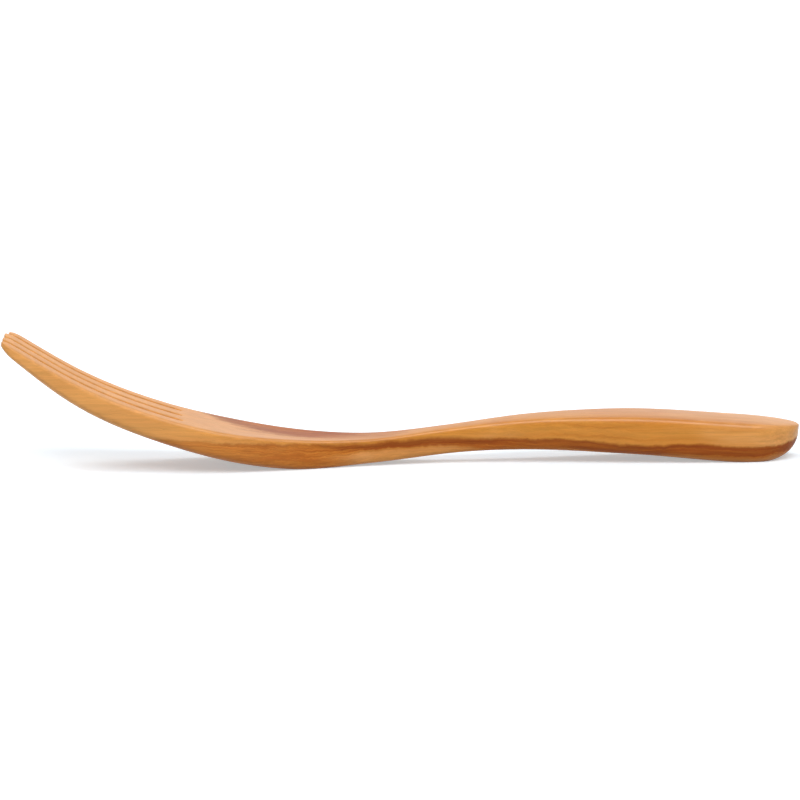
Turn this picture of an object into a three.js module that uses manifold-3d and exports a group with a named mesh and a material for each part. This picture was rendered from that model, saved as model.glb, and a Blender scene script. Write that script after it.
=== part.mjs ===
// A wooden salad fork carved in one piece: four tines on a scooped head, a slim neck, a round-ended grip.
// Millimetres, +Z up. The tines point to -X and the grip to +X. It lies on z = 0 on its belly and its heel.
import * as THREE from "three";
import { mergeVertices } from "three/addons/utils/BufferGeometryUtils.js";
import Module from "manifold-3d";

const wasm = await Module();
wasm.setup();

// Places along the fork, from the tine tips
const runLength = 278.2;
const tineBendAt = 29;
const slotLength = 61.3;
const shoulderAt = 71;
const bellyAt = 100;
const waistAt = 125;
const neckAt = 152;
const gripStartAt = 182;
const crownAt = 215;
const heelAt = 255;

// Heights of the upper face
const tipHeight = 47.4;
const tineBendHeight = 29.6;
const slotRootHeight = 17.5;
const waistHeight = 9.5;
const neckHeight = 11.85;
const gripStartHeight = 15.1;
const crownHeight = 16;
const buttHeight = 11.6;

// Thickness of the wood, square to the upper face
const tipThickness = 3.6;
const tineBendThickness = 7.5;
const slotRootThickness = 9.1;
const bellyThickness = 11.1;
const waistThickness = 8.7;
const neckThickness = 8.3;
const gripStartThickness = 10.3;
const crownThickness = 12.7;
const heelThickness = 13.8;

// Widths
const headWidth = 41;
const bellyWidth = 28;
const waistWidth = 17;
const neckWidth = 12;
const gripStartWidth = 17.5;
const crownWidth = 25.6;
const gripWidth = 28;

// Tines
const tineCount = 4;
const slotWidth = 3;
const tineTipRadius = 3;
const tipCornerLength = 5;
const tipCornerAcross = 7;
const tipRound = 4;
const tipDropShare = 0.35;
const tipPlumbLength = 9;
const tipPlumbShare = 0.25;

// Rounded end of the grip, and the flats that it lies on
const buttRound = 18;
const buttThickness = 2;
const restDepth = 0.35;

// Softened edges and the faces' own curvature
const upperEdgeRadius = 1.5;
const underEdgeRadius = 4.5;
const dishDepth = 0.5;
const gripCrown = 0.6;

// Facets
const tipRings = 6;
const bodyRings = 56;
const buttRings = 10;
const faceSteps = 8;
const edgeSteps = 4;
const slotArcSteps = 8;
const floorReach = 20;
const weldDistance = 1e-4;

const bellyHeight = bellyThickness - restDepth;
const heelHeight = heelThickness - restDepth;

const heights = [
  [0, tipHeight],
  [tineBendAt, tineBendHeight],
  [slotLength, slotRootHeight],
  [bellyAt, bellyHeight],
  [waistAt, waistHeight],
  [neckAt, neckHeight],
  [gripStartAt, gripStartHeight],
  [crownAt, crownHeight],
  [heelAt, heelHeight],
  [runLength, buttHeight],
];

const thicknesses = [
  [0, tipThickness],
  [tineBendAt, tineBendThickness],
  [slotLength, slotRootThickness],
  [bellyAt, bellyThickness],
  [waistAt, waistThickness],
  [neckAt, neckThickness],
  [gripStartAt, gripStartThickness],
  [crownAt, crownThickness],
  [heelAt, heelThickness],
  [runLength, heelThickness],
];

const halfWidths = [
  [0, headWidth / 2],
  [tineBendAt, headWidth / 2],
  [shoulderAt, headWidth / 2],
  [bellyAt, bellyWidth / 2],
  [waistAt, waistWidth / 2],
  [neckAt, neckWidth / 2],
  [gripStartAt, gripStartWidth / 2],
  [crownAt, crownWidth / 2],
  [heelAt, gripWidth / 2],
  [runLength, gripWidth / 2],
];

const crowns = [
  [0, 0],
  [tineBendAt, -dishDepth],
  [bellyAt, -dishDepth],
  [neckAt, gripCrown],
  [runLength, gripCrown],
];

// A smooth curve through [place, value] pairs that never overshoots them
function through(pairs, at) {
  const slope = (i) => (pairs[i + 1][1] - pairs[i][1]) / (pairs[i + 1][0] - pairs[i][0]);
  const last = pairs.length - 2;
  const tangent = (i) => {
    if (i === 0) return slope(0);
    if (i > last) return slope(last);
    const [before, after] = [slope(i - 1), slope(i)];
    if (before * after <= 0) return 0;
    const [left, right] = [pairs[i][0] - pairs[i - 1][0], pairs[i + 1][0] - pairs[i][0]];
    return (before * right + after * left) / (left + right);
  };
  let i = 0;
  while (i < last && at > pairs[i + 1][0]) i++;
  const span = pairs[i + 1][0] - pairs[i][0];
  const t = (at - pairs[i][0]) / span;
  const [a, b] = [pairs[i][1], pairs[i + 1][1]];
  const [p, q] = [tangent(i) * span, tangent(i + 1) * span];
  return a + t * (p + t * (3 * (b - a) - 2 * p - q + t * (2 * (a - b) + p + q)));
}

// How much of a quarter round of the given length is left at a distance from its end
function roundShare(distance, length) {
  const short = Math.max(0, 1 - distance / length);
  return Math.sqrt(Math.max(0, 1 - short * short));
}

// Half the width in plan: rounded corners at the tips, a round end at the grip
function halfWidth(at) {
  const corner = tipCornerAcross * (1 - roundShare(at, tipCornerLength));
  const butt = roundShare(runLength - at, buttRound);
  return (through(halfWidths, at) - corner) * butt;
}

// One cross-section: points [across, up] from the upper face, going round by the -Y side
function section(at) {
  const half = halfWidth(at);
  const tip = roundShare(at, tipRound);
  const butt = roundShare(runLength - at, buttRound);
  const full = through(thicknesses, at);
  const thickness = full * tip * (butt + (buttThickness / full) * (1 - butt));
  const drop = (full - full * tip) * tipDropShare;
  const upper = Math.min(upperEdgeRadius, thickness / 3, half / 2);
  const under = Math.min(underEdgeRadius, thickness / 2, half / 2);
  const crown = through(crowns, at) * butt;
  const points = [];
  const upperHalf = half - upper;
  const underHalf = half - under;
  for (let i = 0; i <= faceSteps; i++) {
    const y = upperHalf * (1 - (2 * i) / faceSteps);
    points.push([y, crown * (1 - (y / upperHalf) ** 2)]);
  }
  for (let i = 1; i <= edgeSteps; i++) {
    const turn = (i / edgeSteps) * (Math.PI / 2);
    points.push([-upperHalf - upper * Math.sin(turn), -upper * (1 - Math.cos(turn))]);
  }
  for (let i = 0; i <= edgeSteps; i++) {
    const turn = (i / edgeSteps) * (Math.PI / 2);
    points.push([-underHalf - under * Math.cos(turn), -thickness + under * (1 - Math.sin(turn))]);
  }
  for (let i = 1; i < faceSteps; i++) {
    points.push([underHalf * ((2 * i) / faceSteps - 1), -thickness]);
  }
  for (let i = edgeSteps; i >= 0; i--) {
    const turn = (i / edgeSteps) * (Math.PI / 2);
    points.push([underHalf + under * Math.cos(turn), -thickness + under * (1 - Math.sin(turn))]);
  }
  for (let i = edgeSteps; i >= 1; i--) {
    const turn = (i / edgeSteps) * (Math.PI / 2);
    points.push([upperHalf + upper * Math.sin(turn), -upper * (1 - Math.cos(turn))]);
  }
  return points.map(([y, up]) => [y, up - drop]);
}

// Places of the cross-sections, close together where the tips and the grip's end round off
function ringPlaces() {
  const places = [];
  const firstTurn = 0.15;
  for (let i = 0; i < tipRings; i++) {
    const turn = firstTurn + (i / tipRings) * (Math.PI / 2 - firstTurn);
    places.push(tipRound * (1 - Math.cos(turn)));
  }
  const bodyEnd = runLength - buttRound;
  for (let i = 0; i < bodyRings; i++) {
    places.push(tipRound + (i / bodyRings) * (bodyEnd - tipRound));
  }
  for (let i = 0; i <= buttRings; i++) {
    const turn = (i / buttRings) * (Math.PI / 2 - firstTurn);
    places.push(bodyEnd + buttRound * Math.sin(turn));
  }
  return places;
}

// The lean of a cross-section: square to the upper face's curve, and nearly upright at the tips
function leanAt(at) {
  const slopeStep = 0.5;
  const before = Math.max(0, at - slopeStep);
  const after = Math.min(runLength, at + slopeStep);
  const rise = through(heights, after) - through(heights, before);
  return Math.atan2(rise, after - before) * Math.min(1, tipPlumbShare + at / tipPlumbLength);
}

// The blank: leaning cross-sections, skinned and closed at both ends
function blankGeometry() {
  const positions = [];
  const places = ringPlaces();
  let count = 0;
  for (const at of places) {
    const lean = leanAt(at);
    const points = section(at);
    count = points.length;
    for (const [y, up] of points) {
      positions.push(at - up * Math.sin(lean), y, through(heights, at) + up * Math.cos(lean));
    }
  }
  const index = [];
  for (let ring = 0; ring < places.length - 1; ring++) {
    for (let i = 0; i < count; i++) {
      const a = ring * count + i;
      const b = ring * count + ((i + 1) % count);
      index.push(a, b, a + count, b, b + count, a + count);
    }
  }
  for (const ring of [0, places.length - 1]) {
    const centre = new THREE.Vector3();
    const point = new THREE.Vector3();
    for (let i = 0; i < count; i++) centre.add(point.fromArray(positions, (ring * count + i) * 3));
    const middle = positions.length / 3;
    positions.push(...centre.divideScalar(count).toArray());
    for (let i = 0; i < count; i++) {
      const a = ring * count + i;
      const b = ring * count + ((i + 1) % count);
      if (ring === 0) index.push(b, a, middle);
      else index.push(a, b, middle);
    }
  }
  const geometry = new THREE.BufferGeometry();
  geometry.setAttribute("position", new THREE.Float32BufferAttribute(positions, 3));
  geometry.setIndex(index);
  return geometry;
}

// A slot's cutter: straight walls, a round root, and a mouth that flares to round off the tips beside it
function slotGeometry() {
  const half = slotWidth / 2;
  const mouth = -tipThickness - 2 * tineTipRadius;
  const flareStart = tineTipRadius + tipThickness * tipDropShare * Math.sin(leanAt(0));
  const flareHalf = half + tineTipRadius;
  const shape = new THREE.Shape();
  shape.moveTo(slotLength - half, -half);
  shape.absarc(slotLength - half, 0, half, -Math.PI / 2, Math.PI / 2, false);
  shape.lineTo(flareStart, half);
  shape.absarc(flareStart, flareHalf, tineTipRadius, -Math.PI / 2, -Math.PI, true);
  shape.lineTo(mouth, flareHalf);
  shape.lineTo(mouth, -flareHalf);
  shape.lineTo(flareStart - tineTipRadius, -flareHalf);
  shape.absarc(flareStart, -flareHalf, tineTipRadius, Math.PI, Math.PI / 2, true);
  const depth = tipHeight + 2 * floorReach;
  const settings = { depth, bevelEnabled: false, curveSegments: slotArcSteps };
  const geometry = new THREE.ExtrudeGeometry(shape, settings);
  geometry.translate(0, 0, -floorReach);
  return geometry;
}

// What lies below the table, which leaves flats on the belly and the heel
function belowTableGeometry() {
  const geometry = new THREE.BoxGeometry(2 * runLength, 2 * headWidth, floorReach);
  geometry.translate(runLength / 2, 0, -floorReach / 2);
  return geometry;
}

function solidOf(geometry) {
  const bare = geometry.clone();
  bare.deleteAttribute("normal");
  bare.deleteAttribute("uv");
  const merged = mergeVertices(bare, weldDistance);
  const vertProperties = merged.getAttribute("position").array;
  const triVerts = new Uint32Array(merged.index.array);
  return new wasm.Manifold(new wasm.Mesh({ numProp: 3, vertProperties, triVerts }));
}

function geometryOf(solid) {
  const mesh = solid.getMesh();
  const geometry = new THREE.BufferGeometry();
  geometry.setAttribute("position", new THREE.BufferAttribute(mesh.vertProperties, 3));
  geometry.setIndex(new THREE.BufferAttribute(mesh.triVerts, 1));
  geometry.computeVertexNormals();
  return geometry;
}

// The fork: the blank, cut by the slots and laid on the table, with the middle of its length at x = 0
function forkGeometry() {
  let fork = solidOf(blankGeometry());
  const tineWidth = (headWidth - (tineCount - 1) * slotWidth) / tineCount;
  const pitch = tineWidth + slotWidth;
  for (let i = 1; i < tineCount; i++) {
    const cutter = slotGeometry();
    cutter.translate(0, (i - tineCount / 2) * pitch, 0);
    fork = fork.subtract(solidOf(cutter));
  }
  fork = fork.subtract(solidOf(belowTableGeometry()));
  const geometry = geometryOf(fork);
  geometry.computeBoundingBox();
  const middle = geometry.boundingBox.getCenter(new THREE.Vector3());
  geometry.translate(-middle.x, 0, 0);
  return geometry;
}

const wood = new THREE.MeshStandardMaterial({ color: 0xc8904f, roughness: 0.5, metalness: 0 });

const carvedFork = new THREE.Mesh(forkGeometry(), wood);
carvedFork.name = "carved_fork";

const saladFork = new THREE.Group();
saladFork.add(carvedFork);

export default saladFork;
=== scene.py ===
import math

import bmesh
import bpy
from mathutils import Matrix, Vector


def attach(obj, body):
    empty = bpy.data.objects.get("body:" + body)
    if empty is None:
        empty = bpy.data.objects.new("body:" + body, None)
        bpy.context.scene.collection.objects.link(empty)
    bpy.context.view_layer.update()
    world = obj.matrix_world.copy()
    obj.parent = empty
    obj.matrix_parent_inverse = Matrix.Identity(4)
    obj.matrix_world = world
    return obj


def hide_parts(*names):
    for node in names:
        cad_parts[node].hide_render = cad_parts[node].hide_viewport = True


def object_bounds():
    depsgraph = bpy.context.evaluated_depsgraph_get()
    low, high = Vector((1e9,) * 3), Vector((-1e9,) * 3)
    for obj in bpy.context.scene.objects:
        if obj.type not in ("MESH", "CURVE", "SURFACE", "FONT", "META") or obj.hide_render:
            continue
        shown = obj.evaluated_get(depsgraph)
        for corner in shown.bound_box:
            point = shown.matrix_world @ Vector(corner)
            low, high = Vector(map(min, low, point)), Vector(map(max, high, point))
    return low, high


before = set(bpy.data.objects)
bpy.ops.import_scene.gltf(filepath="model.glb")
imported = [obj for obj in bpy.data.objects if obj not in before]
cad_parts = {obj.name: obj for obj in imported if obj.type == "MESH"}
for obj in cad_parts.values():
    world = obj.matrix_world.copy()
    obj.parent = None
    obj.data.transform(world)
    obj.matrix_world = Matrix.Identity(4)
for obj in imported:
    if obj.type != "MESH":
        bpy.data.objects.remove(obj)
cadBox = [list(corner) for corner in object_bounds()]
print("frame loaded, CAD box", cadBox)

mm = 0.001
near = 0.01 * mm     # points closer than this share a place


# Small helpers

def deselectAll():
    bpy.ops.object.select_all(action="DESELECT")


def pick(obj, kind, test):
    # leaves selected only the vertices, edges or faces that pass the test
    bpy.ops.mesh.select_mode(type=kind)
    bpy.ops.mesh.select_all(action="DESELECT")
    mesh = bmesh.from_edit_mesh(obj.data)
    mesh.normal_update()
    for item in {"VERT": mesh.verts, "EDGE": mesh.edges, "FACE": mesh.faces}[kind]:
        item.select_set(bool(test(item)))
    if kind == "VERT":
        mesh.select_flush(True)     # with the edges and faces between them
    bmesh.update_edit_mesh(obj.data)


def bevel(edge, affect):
    bpy.ops.mesh.bevel(offset=edge["radius"] * mm, segments=edge["steps"], profile=edge["profile"],
                       affect=affect, clamp_overlap=affect == "EDGES")


def quarterRound(distance, length):
    # share of the full size that a rounded end still has, this far from its end
    short = max(0.0, 1.0 - distance / length)
    return math.sqrt(max(0.0, 1.0 - short * short))


# Camera at the photograph's angle

view = {
    "azimuth": -5.29,     # degrees, 0 looks along +Y
    "elevation": 9.03,
    "distance": 1.05,
    "aim": (-2.0 * mm, 0.0, 22.0 * mm),
    "lens": 135.67,
    "sensor": 36.0,
    "farClip": 100.0,
}


def setCamera():
    turn, rise = math.radians(view["azimuth"]), math.radians(view["elevation"])
    back = Vector((math.sin(turn) * math.cos(rise), -math.cos(turn) * math.cos(rise), math.sin(rise)))
    bpy.ops.object.camera_add(location=Vector(view["aim"]) + back * view["distance"])
    camera = bpy.context.object
    camera.name = "photoCamera"
    camera.rotation_euler = back.to_track_quat("Z", "Y").to_euler()
    camera.data.lens = view["lens"]
    camera.data.sensor_width = view["sensor"]
    camera.data.clip_end = view["farClip"]
    bpy.context.scene.camera = camera
    print("camera set")


# The fork, all sizes in millimetres

fork = {
    # places along the fork, from the tine tips
    "places": {"tip": 0, "tineBend": 29, "slotRoot": 61.3, "shoulder": 71, "belly": 100, "headEnd": 110,
               "waist": 125, "neck": 152, "gripStart": 182, "crown": 215, "heel": 255, "butt": 278.2},
    # upper face, thickness and width at those places
    "heights": {"tip": 47.15, "tineBend": 29.95, "slotRoot": 17.75, "belly": 10.75, "waist": 9.5,
                "neck": 11.85, "gripStart": 15.1, "crown": 16, "heel": 13.45, "butt": 11.6},
    "thicknesses": {"tip": 3.0, "tineBend": 7.5, "slotRoot": 9.2, "belly": 11.1, "waist": 8.7,
                    "neck": 8.3, "gripStart": 10.3, "crown": 12.7, "heel": 13.8, "butt": 13.8},
    "widths": {"tip": 41, "tineBend": 41, "shoulder": 41, "belly": 28, "waist": 17,
               "neck": 12, "gripStart": 17.5, "crown": 25.6, "heel": 28, "butt": 28},
    # rise of the upper face in its middle, and how steeply that falls off to the edges
    "crowns": {"tip": 0.1, "tineBend": 0.1, "slotRoot": 0, "belly": -0.5,
               "neck": 0.6, "crown": 0.9, "butt": 0.9},
    "crownPower": 3,
    "tines": 4,
    "slotWidth": 3,
    "tineTipRadius": 3,
    "tipCornerLength": 5,
    "tipCornerAcross": 7,
    "tipSet": [-0.2, -0.1, 0.1, 1.3],     # hand-cut tips, a little uneven
    "tipRound": 4,
    "tipDropShare": 0.35,     # part of the tips' rounding that comes off the top
    "tipPlumbShare": 0.25,    # tilt at the very tips, as a part of the slope there
    "tipPlumb": 9,            # the tilt gains the whole slope in this length
    "buttRound": 18,
    "buttThickness": 2,
    # edges of the grip's section, which stretch with it, and the part of the upper ones left on the head
    "upperEdge": {"radius": 3.4, "steps": 4, "profile": 0.64},
    "underEdge": {"radius": 4.2, "steps": 3, "profile": 0.5},
    "upperEdgeShares": {"tip": 0.5, "shoulder": 0.5, "headEnd": 0.9, "waist": 1, "butt": 1},
    "slotEdge": {"radius": 0.5, "steps": 2, "profile": 0.5},
    "ringSpacing": 8.5,
    "buttRings": [7, 18, 33, 50, 70],     # degrees round the end of the grip
    "tineRings": [57, 50, 42, 34, 26, 19, 13],
    "tipRings": [8.5, 5.5, 3.6, 2.2, 1.1, 0.45],     # from each tine's own tip
    "smoothLevels": 2,
}

places = fork["places"]
runLength = places["butt"]
slotLength = places["slotRoot"]


def along(profile, at):
    # smooth curve through a profile's values at their places, with no overshoot between them
    keys = [(places[name], value) for name, value in profile.items()]
    last = len(keys) - 2

    def slope(i):
        return (keys[i + 1][1] - keys[i][1]) / (keys[i + 1][0] - keys[i][0])

    def tangent(i):
        if i == 0:
            return slope(0)
        if i > last:
            return slope(last)
        before, after = slope(i - 1), slope(i)
        if before * after <= 0:
            return 0.0
        left, right = keys[i][0] - keys[i - 1][0], keys[i + 1][0] - keys[i][0]
        return (before * right + after * left) / (left + right)

    i = 0
    while i < last and at > keys[i + 1][0]:
        i += 1
    span = keys[i + 1][0] - keys[i][0]
    t = (at - keys[i][0]) / span
    a, b = keys[i][1], keys[i + 1][1]
    p, q = tangent(i) * span, tangent(i + 1) * span
    return a + t * (p + t * (3 * (b - a) - 2 * p - q + t * (2 * (a - b) + p + q)))


def slopeAt(at):
    step = 0.5
    low, high = max(0.0, at - step), min(runLength, at + step)
    return math.atan2(along(fork["heights"], high) - along(fork["heights"], low), high - low)


def sectionAt(at, tipAt=0.0):
    # centre, tilt, width and thickness of the whole fork's cross-section
    butt = quarterRound(runLength - at, fork["buttRound"])
    tip = quarterRound(at - tipAt, fork["tipRound"])
    full = along(fork["thicknesses"], at)
    thick = full * tip * (butt + fork["buttThickness"] / full * (1 - butt))
    tilt = slopeAt(at) * min(1.0, fork["tipPlumbShare"] + (at - tipAt) / fork["tipPlumb"])
    drop = (full - full * tip) * fork["tipDropShare"] + thick / 2
    centre = Vector((at + drop * math.sin(tilt), 0, along(fork["heights"], at) - drop * math.cos(tilt)))
    return {"centre": centre, "tilt": tilt, "width": along(fork["widths"], at) * butt, "thick": thick}


def tineEdges(index):
    # the two straight edges of a tine, across the fork
    count, gap = fork["tines"], fork["slotWidth"]
    head = along(fork["widths"], slotLength)
    wide = (head - (count - 1) * gap) / count
    low = -head / 2 + index * (wide + gap)
    return low, low + wide


def tineSectionAt(index, at):
    # a tine's own cross-section, with its tip rounded in plan and the outer corners of the head cut off
    low, high = tineEdges(index)
    left = at - fork["tipSet"][index]
    inner = fork["tineTipRadius"] * (1 - quarterRound(left, fork["tineTipRadius"]))
    outer = fork["tipCornerAcross"] * (1 - quarterRound(left, fork["tipCornerLength"]))
    low += outer if index == 0 else inner
    high -= outer if index == fork["tines"] - 1 else inner
    section = sectionAt(at, fork["tipSet"][index])
    section["centre"].y = (low + high) / 2
    section["width"] = high - low
    return section


def sectionAxes(tilt):
    # directions along the fork and up from a cross-section with this tilt
    ahead = Vector((math.cos(tilt), 0, math.sin(tilt)))
    up = Vector((-math.sin(tilt), 0, math.cos(tilt)))
    return ahead, up


def onSection(section, co):
    ahead = sectionAxes(section["tilt"])[0]
    return abs((co - section["centre"] * mm).dot(ahead)) < near


def onUpperHalf(section, co):
    up = sectionAxes(section["tilt"])[1]
    return onSection(section, co) and (co - section["centre"] * mm).dot(up) > near


def moveSection(old, new):
    # reshapes the selected cross-section: stood upright, resized, tilted again and carried to its place
    def turn(angle):
        bpy.ops.transform.rotate(value=angle, orient_axis="Y", orient_type="GLOBAL",
                                 center_override=old["centre"] * mm)
    turn(-old["tilt"])
    bpy.ops.transform.resize(value=(1, new["width"] / old["width"], new["thick"] / old["thick"]),
                             orient_type="GLOBAL", center_override=old["centre"] * mm)
    turn(new["tilt"])
    bpy.ops.transform.translate(value=(new["centre"] - old["centre"]) * mm, orient_type="GLOBAL")


def extrudeTo(old, new):
    bpy.ops.mesh.extrude_region_move(TRANSFORM_OT_translate={"value": (0, 0, 0)})
    moveSection(old, new)


def bodyRings():
    # places of the cross-sections from the end of the grip to the root of the slots
    butt = fork["buttRound"]
    rounded = [runLength - butt * (1 - math.cos(math.radians(turn))) for turn in fork["buttRings"]]
    straight = runLength - butt - slotLength
    count = round(straight / fork["ringSpacing"])
    return rounded + [runLength - butt - i * straight / count for i in range(count + 1)]


def tineRings(index):
    return fork["tineRings"] + [fork["tipSet"][index] + left for left in fork["tipRings"]]


def fullGripSection():
    return sectionAt(runLength - fork["buttRound"])


def startSection():
    # a flat grid with one column for each tine and each slot, its corners rounded over
    deselectAll()
    columns = 2 * fork["tines"] - 1
    bpy.ops.mesh.primitive_grid_add(x_subdivisions=columns, y_subdivisions=2, size=1,
                                    rotation=(math.pi / 2, 0, math.pi / 2))
    obj = bpy.context.object
    obj.name = "oiledFork"
    bpy.ops.object.transform_apply(location=False, rotation=True, scale=False)
    bpy.ops.object.mode_set(mode="EDIT")
    head = along(fork["widths"], slotLength)
    for k in range(1, columns):
        low, high = tineEdges(k // 2)
        now = k / columns - 0.5
        wanted = (low if k % 2 == 0 else high) / head
        pick(obj, "VERT", lambda vert: abs(vert.co.y - now) < near)
        bpy.ops.transform.translate(value=(0, wanted - now, 0))

    section = fullGripSection()
    width, thick = section["width"] * mm, section["thick"] * mm
    bpy.ops.mesh.select_all(action="SELECT")
    bpy.ops.transform.resize(value=(1, width, thick), center_override=(0, 0, 0))
    for side, edge in ((1, fork["upperEdge"]), (-1, fork["underEdge"])):
        def onCorner(vert):
            return vert.co.z * side > thick / 2 - near and abs(vert.co.y) > width / 2 - near
        pick(obj, "VERT", onCorner)
        bevel(edge, "VERTICES")
    return obj


def tightenEdges(obj, section, share):
    # narrows the rounding of the two upper edges at the end that is being drawn out
    half = section["width"] * mm / 2
    start = half * (1 - 2 * fork["upperEdge"]["radius"] / fullGripSection()["width"])
    for side in (-1, 1):
        def onEdge(vert):
            return onUpperHalf(section, vert.co) and vert.co.y * side > start - near
        pick(obj, "VERT", onEdge)
        bpy.ops.transform.resize(value=(1, share, 1), orient_type="GLOBAL",
                                 center_override=(0, half * side, 0))


def drawBody(obj):
    # the section is carried to the end of the grip and drawn out, ring by ring, to the root of the slots
    rings = bodyRings()
    flat = dict(fullGripSection(), centre=Vector((0, 0, 0)), tilt=0.0)
    now = sectionAt(rings[0])
    bpy.ops.mesh.select_mode(type="FACE")
    bpy.ops.mesh.select_all(action="SELECT")
    moveSection(flat, now)
    share = 1.0
    for place in rings[1:]:
        new = sectionAt(place)
        extrudeTo(now, new)
        now = new
        wanted = along(fork["upperEdgeShares"], place)
        if wanted < share:
            tightenEdges(obj, now, wanted / share)
            pick(obj, "FACE", lambda face: onSection(now, face.calc_center_median()))
            share = wanted
    print("grip, neck and head drawn out")
    return now


def pullTines(obj, root):
    # each tine is pulled out of its own column of the head's front face
    for index in range(fork["tines"]):
        low, high = tineEdges(index)

        def inTine(face):
            middle = face.calc_center_median()
            return onSection(root, middle) and low * mm < middle.y < high * mm
        pick(obj, "FACE", inTine)
        centre = Vector((root["centre"].x, (low + high) / 2, root["centre"].z))
        now = dict(root, centre=centre, width=high - low)
        for place in tineRings(index):
            new = tineSectionAt(index, place)
            extrudeTo(now, new)
            now = new
    print("tines pulled")


def crownRing(obj, place):
    # lifts or sinks the upper face at one cross-section, most of all in its middle
    section = sectionAt(place)
    up = sectionAxes(section["tilt"])[1]
    half = section["width"] * mm / 2
    rise = along(fork["crowns"], place) * quarterRound(runLength - place, fork["buttRound"]) * mm
    verts = [vert.co for vert in bmesh.from_edit_mesh(obj.data).verts]
    columns = {round(abs(co.y) / near) for co in verts if onUpperHalf(section, co)}
    for column in columns:
        def inColumn(vert):
            return onUpperHalf(section, vert.co) and round(abs(vert.co.y) / near) == column
        pick(obj, "VERT", inColumn)
        share = 1 - min(1.0, column * near / half) ** fork["crownPower"]
        bpy.ops.transform.translate(value=up * rise * share, orient_type="GLOBAL")


slotRim = {
    "sharp": 40,          # degrees between two faces, from which an edge counts as a rim
    "sideMargin": 1.0,    # keeps clear of the outer tines' own sides
    "rootReach": 6.0,     # a root's faces lie no further than this towards the tips
    "headReach": 9.0,     # and a slot's faces no further than this into the head
    "facing": 0.6,        # part of a normal that points the way a face looks
    "rootTurn": 30,       # degrees that a root's face may turn from the fork's direction
}


def onSlotRim(edge):
    # sharp edges between a slot's walls and the faces above and below it
    if len(edge.link_faces) != 2 or edge.calc_face_angle() < math.radians(slotRim["sharp"]):
        return False
    ahead = sectionAxes(slopeAt(slotLength))[0]
    outside = along(fork["widths"], 0) / 2 - slotRim["sideMargin"]
    for face, other in (edge.link_faces, reversed(edge.link_faces)):
        middle = face.calc_center_median() / mm
        if abs(middle.y) > outside or middle.x > slotLength + slotRim["headReach"]:
            continue
        if abs(other.normal.y) > slotRim["facing"] or abs(other.normal.z) <= slotRim["facing"]:
            continue
        square = abs(face.normal.dot(ahead)) > math.cos(math.radians(slotRim["rootTurn"]))
        if square and middle.x > slotLength - slotRim["rootReach"]:
            return True
        if abs(face.normal.y) > slotRim["facing"]:
            return True
    return False


def easeSlots(obj):
    bpy.ops.mesh.select_all(action="SELECT")
    bpy.ops.mesh.normals_make_consistent(inside=False)
    pick(obj, "EDGE", onSlotRim)
    bevel(fork["slotEdge"], "EDGES")
    print("slot rims eased")


def layDown(obj):
    # laid on the table with its belly and heel sanded flat, and the end of its grip where it belongs
    reach = max(vert.co.x for vert in obj.data.vertices)
    bpy.ops.object.mode_set(mode="EDIT")
    bpy.ops.mesh.select_all(action="SELECT")
    bpy.ops.transform.translate(value=(cadBox[1][0] - reach, 0, 0))
    pick(obj, "VERT", lambda vert: vert.co.z < 0)
    bpy.ops.transform.resize(value=(1, 1, 0), orient_type="GLOBAL", center_override=(0, 0, 0))
    bpy.ops.object.mode_set(mode="OBJECT")


def buildFork():
    obj = startSection()
    root = drawBody(obj)
    pullTines(obj, root)
    for place in bodyRings() + fork["tineRings"]:
        crownRing(obj, place)
    easeSlots(obj)
    bpy.ops.object.mode_set(mode="OBJECT")
    smooth = obj.modifiers.new("smooth", "SUBSURF")
    smooth.levels = smooth.render_levels = fork["smoothLevels"]
    bpy.ops.object.modifier_apply(modifier=smooth.name)
    bpy.ops.object.shade_smooth()
    layDown(obj)
    return obj


# Nodes

def tone(red, green, blue):
    # a colour as it looks on a screen, 0 to 255
    def linear(value):
        share = value / 255
        return share / 12.92 if share < 0.04045 else ((share + 0.055) / 1.055) ** 2.4
    return linear(red), linear(green), linear(blue), 1.0


def addNode(tree, kind, inputs=None, **settings):
    made = tree.nodes.new(kind)
    for name, value in settings.items():
        setattr(made, name, value)
    for key, value in (inputs or {}).items():
        if isinstance(value, bpy.types.NodeSocket):
            tree.links.new(value, made.inputs[key])
        else:
            made.inputs[key].default_value = value
    return made


def calc(tree, operation, *values):
    made = addNode(tree, "ShaderNodeMath", dict(enumerate(values)), operation=operation)
    return made.outputs[0]


def stretch(tree, value, low, high):
    # 0 at low, 1 at high, with a smooth passage
    made = addNode(tree, "ShaderNodeMapRange", {"Value": value, "From Min": low, "From Max": high},
                   interpolation_type="SMOOTHSTEP")
    return made.outputs["Result"]


def between(tree, share, ends):
    return calc(tree, "MULTIPLY_ADD", share, ends[1] - ends[0], ends[0])


def blend(tree, share, first, second, way="MIX"):
    made = addNode(tree, "ShaderNodeMix", data_type="RGBA", blend_type=way)
    for name, value in (("Factor_Float", share), ("A_Color", first), ("B_Color", second)):
        socket = next(s for s in made.inputs if s.identifier == name)
        if isinstance(value, bpy.types.NodeSocket):
            tree.links.new(value, socket)
        else:
            socket.default_value = value
    return next(s for s in made.outputs if s.identifier == "Result_Color")


def newMaterial(name):
    material = bpy.data.materials.new(name)
    material.use_nodes = True
    tree = material.node_tree
    return material, tree, tree.nodes["Principled BSDF"]


# The wood: honey sapwood over a brown layer of heartwood, all places in millimetres from the fork's middle

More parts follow.
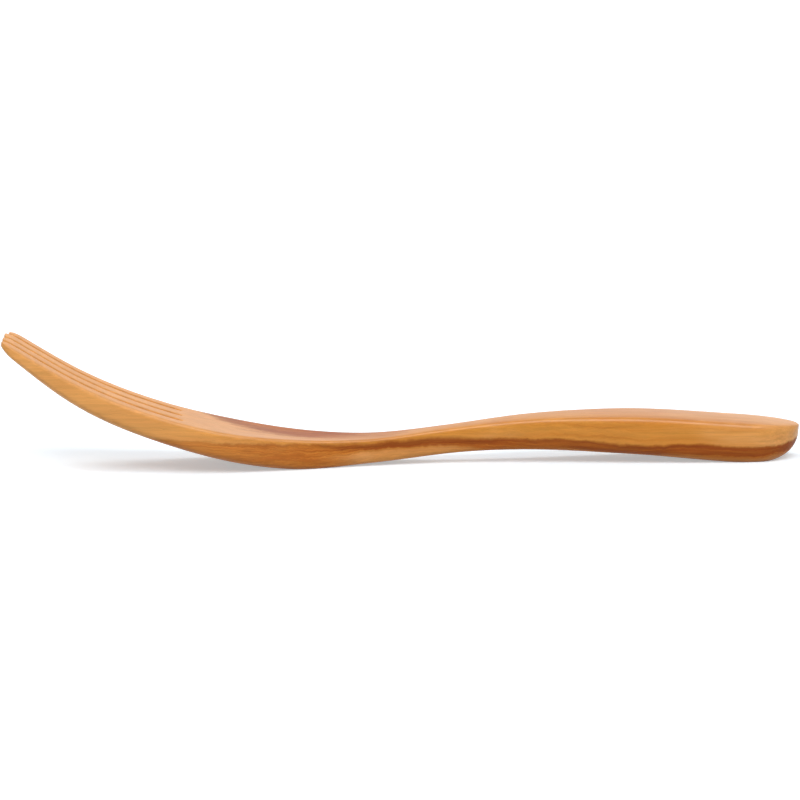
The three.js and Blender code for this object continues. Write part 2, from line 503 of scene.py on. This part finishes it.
wood = {
    "sap": (202, 133, 53),
    # pale sapwood, also used as painted light: it whitens the grip's end and the neck's underside
    "sapPaleAndPaintedLight": (219, 155, 89),
    "sapDeep": (192, 119, 43),
    "dark": (138, 64, 9),
    "heart": (174, 88, 17),
    "heartPale": (199, 120, 40),
    # height of the border between them along the fork, and how far each noise moves it
    "heartLine": [(-140, 14), (-100, 14.4), (-84, 13.6), (-65, 12.1), (-37, 9.4), (-23, 8.8), (3, 9.5),
                  (20, 9.3), (42, 8.7), (57, 8.7), (80, 7.1), (95, 7.3), (118, 6), (140, 7)],
    "halfRun": 140.0,
    "lineTop": 20.0,
    "lineSide": 12.0,      # the line holds this far to the near side
    "heartTilt": 0.115,    # and the dark wood rises from there towards the far side
    "wander": {"ripples": 1.3, "waves": 0.6, "fuzz": 0.7, "fingers": 2.2},
    # zones of the wood: none at the first place, all at the second
    "zones": {
        "tips": {"x": (-50, -110)},
        "tipward": {"x": (0, -110)},
        "behindTines": {"x": (-90, -30)},
        "headSide": {"x": (-15, -50), "y": (4, -10)},
        "neck": {"fromMiddle": (36, 12)},
        # the neck's underside: its sapwood is real, and its extra paleness is painted floor bounce
        "neckLow": {"fromMiddle": (36, 12), "depth": (2.5, 5)},
        "grip": {"x": (10, 60)},
        # the end of the grip: its sapwood is painted paler here, as painted light
        "butt": {"x": (108, 136)},
        "deep": {"depth": (3, 4.8)},
    },
    # amounts that zones raise or lower
    # the tips get paler sapwood; on the grip's end and the neck's underside this paleness is painted light
    "palenessAndPaintedLight": {"tipward": 0.75, "butt": 0.7, "neckLow": 0.6},
    "innerStart": (0.8, {"neck": 2.0, "headSide": -1.4}),
    "innerEnd": (3.2, {"neck": 1.2, "headSide": -1.6}),
    "innerStrength": (1.0, {"grip": -0.7}),
    "paleStreaks": (0.2, 0.85),
    "darkStreaks": (0.7, {"grip": -0.4}),
    "borderStart": -0.5,
    "borderEnd": (0.8, {"neck": 1.7}),
    "heartStrength": (0.75, {"behindTines": 0.25}),
    "sideStrength": (1.0, {"headSide": -0.2}),
    "fading": (0.1, {"grip": 0.45, "neck": 0.7}),
    # years of growth
    "ring": 1.9,
    "ringDrift": 3.0,
    "yearRise": (0.1, 0.9),
    "yearEnd": (1.0, 0.9),
    "lineStrength": (0.03, 0.08),     # in the sapwood, in the heartwood
    # darkest and palest shade by each fine noise
    "fibreShades": (0.93, 1.05),
    "bandShades": (0.92, 1.06),
    "poreShades": (1.0, 0.86),
    "gloss": 0.16,
    "roughness": (0.36, 0.3),
    "tipRoughness": 0.1,
    "heartRoughness": 0.12,
    "bump": {"Strength": 0.03, "Distance": 0.2 * mm},
    # scales along, across and up, and the range that is stretched out to 0 and 1
    "noise": {
        "ripples": {"scales": (0.16, 0.3, 0.3), "detail": 3.0, "rough": 0.6, "seed": 8.2},
        "waves": {"scales": (0.05, 0.07, 0.02), "detail": 3.0, "rough": 0.5, "seed": 3.1},
        "fuzz": {"scales": (0.6, 0.9, 0.5), "detail": 2.0, "rough": 0.6, "seed": 6.6},
        "fingers": {"scales": (0.02, 0.55, 0.1), "detail": 3.0, "rough": 0.6, "seed": 12.4},
        "drift": {"scales": (0.015, 0.06, 0.12), "detail": 2.0, "rough": 0.5, "seed": 4.4},
        "layers": {"scales": (0.008, 0.12, 0.45), "detail": 4.0, "rough": 0.6, "twist": 0.2, "seed": 1.7,
                   "range": (0.3, 0.6)},
        "curl": {"scales": (0.03, 0.05, 0.09), "detail": 3.0, "rough": 0.5, "seed": 7.7,
                 "range": (0.5, 0.85)},
        "thin": {"scales": (0.02, 0.2, 1.7), "detail": 3.0, "rough": 0.6, "seed": 5.3,
                 "range": (0.42, 0.62)},
        "streaks": {"scales": (0.035, 0.3, 2.6), "detail": 3.0, "rough": 0.65, "seed": 9.1,
                    "range": (0.54, 0.68)},
        "fibres": {"scales": (0.05, 2.4, 2.4), "detail": 3.0, "rough": 0.65, "seed": 2.9,
                   "range": (0.3, 0.7)},
        "bands": {"scales": (0.012, 0.8, 0.8), "detail": 3.0, "rough": 0.6, "seed": 15.5,
                  "range": (0.3, 0.7)},
        "pores": {"scales": (0.3, 4.5, 4.5), "detail": 2.0, "rough": 0.5, "seed": 11.0,
                  "range": (0.62, 0.74)},
    },
}


def grainNoise(tree, place, name):
    # noise drawn out along the wood
    layer = wood["noise"][name]
    seed = layer["seed"]
    spread = addNode(tree, "ShaderNodeVectorMath", {0: place, 1: layer["scales"]}, operation="MULTIPLY")
    shift = addNode(tree, "ShaderNodeVectorMath",
                    {0: spread.outputs[0], 1: (seed, seed * 0.7, seed * 1.3)}, operation="ADD")
    noise = addNode(tree, "ShaderNodeTexNoise",
                    {"Vector": shift.outputs[0], "Scale": 1.0, "Detail": layer["detail"],
                     "Roughness": layer["rough"], "Distortion": layer.get("twist", 0.0)},
                    noise_dimensions="3D")
    value = noise.outputs["Fac"]
    return stretch(tree, value, *layer["range"]) if "range" in layer else value


def woodBorder(tree, place, x, y):
    # height of the border between the pale and the dark wood
    half, top = wood["halfRun"], wood["lineTop"]
    run = calc(tree, "MULTIPLY_ADD", x, 0.5 / half, 0.5)
    line = addNode(tree, "ShaderNodeFloatCurve", {"Value": run})
    points = line.mapping.curves[0].points
    keys = [(0.5 + at / half / 2, height / top) for at, height in wood["heartLine"]]
    points[0].location, points[1].location = keys[0], keys[-1]
    for key in keys[1:-1]:
        points.new(*key)
    line.mapping.update()
    base = calc(tree, "MULTIPLY", line.outputs[0], top)
    border = calc(tree, "MULTIPLY_ADD", calc(tree, "ADD", y, wood["lineSide"]), wood["heartTilt"], base)
    for name, reach in wood["wander"].items():
        swing = calc(tree, "SUBTRACT", grainNoise(tree, place, name), 0.5)
        border = calc(tree, "MULTIPLY_ADD", swing, reach, border)
    return border


def woodAxes(tree):
    # places in the wood: along, across and below the border, and a flow of grain that follows the border
    spot = addNode(tree, "ShaderNodeTexCoord").outputs["Object"]
    scaled = addNode(tree, "ShaderNodeVectorMath", {0: spot, 1: (1 / mm, 1 / mm, 1 / mm)},
                     operation="MULTIPLY")
    place = scaled.outputs[0]
    x, y, z = addNode(tree, "ShaderNodeSeparateXYZ", {0: place}).outputs
    depth = calc(tree, "SUBTRACT", woodBorder(tree, place, x, y), z)
    flow = addNode(tree, "ShaderNodeCombineXYZ", {0: x, 1: y, 2: depth}).outputs[0]
    return {"place": place, "x": x, "y": y, "fromMiddle": calc(tree, "ABSOLUTE", x), "depth": depth,
            "flow": flow}


def woodZones(tree, axes):
    zones = {}
    for name, ranges in wood["zones"].items():
        zones[name] = 1.0
        for axis, (start, end) in ranges.items():
            zones[name] = calc(tree, "MULTIPLY", zones[name], stretch(tree, axes[axis], start, end))
    return zones


def byZone(tree, zones, base, changes):
    # a value that each of these zones raises or lowers
    for name, change in changes.items():
        base = calc(tree, "MULTIPLY_ADD", zones[name], change, base)
    return base


def sapColour(tree, axes, zones):
    layers = grainNoise(tree, axes["flow"], "layers")
    curl = grainNoise(tree, axes["place"], "curl")
    colour = blend(tree, layers, tone(*wood["sapDeep"]), tone(*wood["sap"]))
    # paler towards the tips, with painted light on the grip's end and painted floor bounce under the neck
    return blend(tree, byZone(tree, zones, curl, wood["palenessAndPaintedLight"]), colour, tone(*wood["sapPaleAndPaintedLight"]))


def heartColour(tree, axes, zones):
    # darkest along its border, with pale and dark streaks
    start = byZone(tree, zones, *wood["innerStart"])
    end = byZone(tree, zones, *wood["innerEnd"])
    inner = stretch(tree, axes["depth"], start, end)
    inner = calc(tree, "MULTIPLY", inner, byZone(tree, zones, *wood["innerStrength"]))
    thin = grainNoise(tree, axes["flow"], "thin")
    paler = calc(tree, "MULTIPLY", thin, between(tree, inner, wood["paleStreaks"]))
    streaks = grainNoise(tree, axes["flow"], "streaks")
    darker = calc(tree, "MULTIPLY", streaks, byZone(tree, zones, *wood["darkStreaks"]))
    colour = blend(tree, inner, tone(*wood["dark"]), tone(*wood["heart"]))
    colour = blend(tree, paler, colour, tone(*wood["heartPale"]))
    return blend(tree, darker, colour, tone(*wood["dark"]))


def heartShare(tree, axes, zones):
    # how much of the dark wood shows: none above its border, and less again deep below it
    end = byZone(tree, zones, *wood["borderEnd"])
    share = stretch(tree, axes["depth"], wood["borderStart"], end)
    for strength in (wood["heartStrength"], wood["sideStrength"]):
        share = calc(tree, "MULTIPLY", share, byZone(tree, zones, *strength))
    fading = calc(tree, "MULTIPLY", zones["deep"], byZone(tree, zones, *wood["fading"]))
    return calc(tree, "MULTIPLY", share, calc(tree, "SUBTRACT", 1.0, fading))


def growthLines(tree, axes, share):
    # a dark line at the end of each year's growth
    drift = grainNoise(tree, axes["flow"], "drift")
    count = calc(tree, "DIVIDE", axes["depth"], wood["ring"])
    year = calc(tree, "FRACT", calc(tree, "MULTIPLY_ADD", drift, wood["ringDrift"], count))
    rise = stretch(tree, year, *wood["yearRise"])
    line = calc(tree, "MULTIPLY", rise, stretch(tree, year, *wood["yearEnd"]))
    strength = between(tree, share, wood["lineStrength"])
    return calc(tree, "SUBTRACT", 1.0, calc(tree, "MULTIPLY", line, strength))


def woodMaterial():
    material, tree, shader = newMaterial("wood")
    axes = woodAxes(tree)
    zones = woodZones(tree, axes)
    share = heartShare(tree, axes, zones)
    colour = blend(tree, share, sapColour(tree, axes, zones), heartColour(tree, axes, zones))

    # fine fibres, soft bands and short dark pores
    fibres = grainNoise(tree, axes["flow"], "fibres")
    bands = grainNoise(tree, axes["place"], "bands")
    pores = grainNoise(tree, axes["flow"], "pores")
    fine = between(tree, fibres, wood["fibreShades"])
    fine = calc(tree, "MULTIPLY", fine, between(tree, bands, wood["bandShades"]))
    fine = calc(tree, "MULTIPLY", fine, between(tree, pores, wood["poreShades"]))
    dimmed = calc(tree, "MULTIPLY", fine, growthLines(tree, axes, share))
    shade = addNode(tree, "ShaderNodeCombineXYZ", {0: dimmed, 1: dimmed, 2: dimmed}).outputs[0]
    colour = blend(tree, 1.0, colour, shade, "MULTIPLY")

    # satin, duller on the tips and the dark wood
    rough = between(tree, fibres, wood["roughness"])
    rough = calc(tree, "MULTIPLY_ADD", zones["tips"], wood["tipRoughness"], rough)
    rough = calc(tree, "MULTIPLY_ADD", share, wood["heartRoughness"], rough)
    bump = addNode(tree, "ShaderNodeBump", {"Height": fine, **wood["bump"]})
    tree.links.new(colour, shader.inputs["Base Color"])
    tree.links.new(rough, shader.inputs["Roughness"])
    tree.links.new(bump.outputs[0], shader.inputs["Normal"])
    shader.inputs["Specular IOR Level"].default_value = wood["gloss"]
    return material


# Floor and light

stage = {
    "floor": 1.1,
    "floorTone": (219, 230, 239),
    "floorRoughness": 0.9,
    "floorLift": 0.42,      # added to what the camera sees of the floor
    "sky": 0.2,
    "skyShown": 1.15,       # a little over white, so that no corner of the picture greys
    "lamps": {
        "overheadSoftbox": {"place": (-0.4, 0.55, 1.05), "size": (0.6, 0.6), "watts": 6.4,
                            "shows": "diffuse"},
        "edgeStrip": {"place": (0, -0.1, 1.2), "size": (1.2, 0.6), "watts": 31.0, "shows": "gloss"},
        "frontSoftbox": {"place": (0, -1.05, 1.2), "size": (1.4, 1.0), "watts": 23.4,
                         "shows": "diffuse"},
        "backSoftbox": {"place": (0, 1.5, 0.75), "size": (2.4, 0.9), "watts": 3.6, "shows": "diffuse"},
    },
}


def shownDirectly(tree):
    # 1 where the camera, a gloss or a glass looks at the stage, 0 where it only lights the fork
    path = addNode(tree, "ShaderNodeLightPath")
    seen = calc(tree, "MAXIMUM", path.outputs["Is Camera Ray"], path.outputs["Is Glossy Ray"])
    return calc(tree, "MAXIMUM", seen, path.outputs["Is Transmission Ray"])


def buildFloor():
    deselectAll()
    bpy.ops.mesh.primitive_plane_add(size=stage["floor"], location=(0, 0, 0))
    floor = bpy.context.object
    floor.name = "floor"
    material, tree, shader = newMaterial("paleFloor")
    shader.inputs["Base Color"].default_value = tone(*stage["floorTone"])
    shader.inputs["Roughness"].default_value = stage["floorRoughness"]
    shader.inputs["Specular IOR Level"].default_value = 0.0
    shader.inputs["Emission Strength"].default_value = stage["floorLift"]
    tree.links.new(shownDirectly(tree), shader.inputs["Emission Color"])
    floor.data.materials.append(material)


def buildSky():
    world = bpy.data.worlds.new("studio")
    bpy.context.scene.world = world
    world.use_nodes = True
    tree = world.node_tree
    sky = tree.nodes["Background"]
    sky.inputs["Color"].default_value = (1, 1, 1, 1)
    level = between(tree, shownDirectly(tree), (stage["sky"], stage["skyShown"]))
    tree.links.new(level, sky.inputs["Strength"])


def hangLamps():
    for name, lamp in stage["lamps"].items():
        bpy.ops.object.light_add(type="AREA", location=lamp["place"])
        light = bpy.context.object
        light.name = name
        light.rotation_euler = Vector(lamp["place"]).to_track_quat("Z", "Y").to_euler()
        light.data.shape = "RECTANGLE"
        light.data.size, light.data.size_y = lamp["size"]
        light.data.energy = lamp["watts"]
        light.visible_glossy = lamp["shows"] == "gloss"
        light.visible_diffuse = lamp["shows"] == "diffuse"
    bpy.context.scene.view_settings.view_transform = "Standard"
    print("stage lit")


setCamera()
buildFloor()
buildSky()
hangLamps()
forkObj = buildFork()
forkObj.data.materials.clear()
forkObj.data.materials.append(woodMaterial())
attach(forkObj, "root")
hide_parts("carved_fork")
print("fork finished,", len(forkObj.data.polygons), "faces")
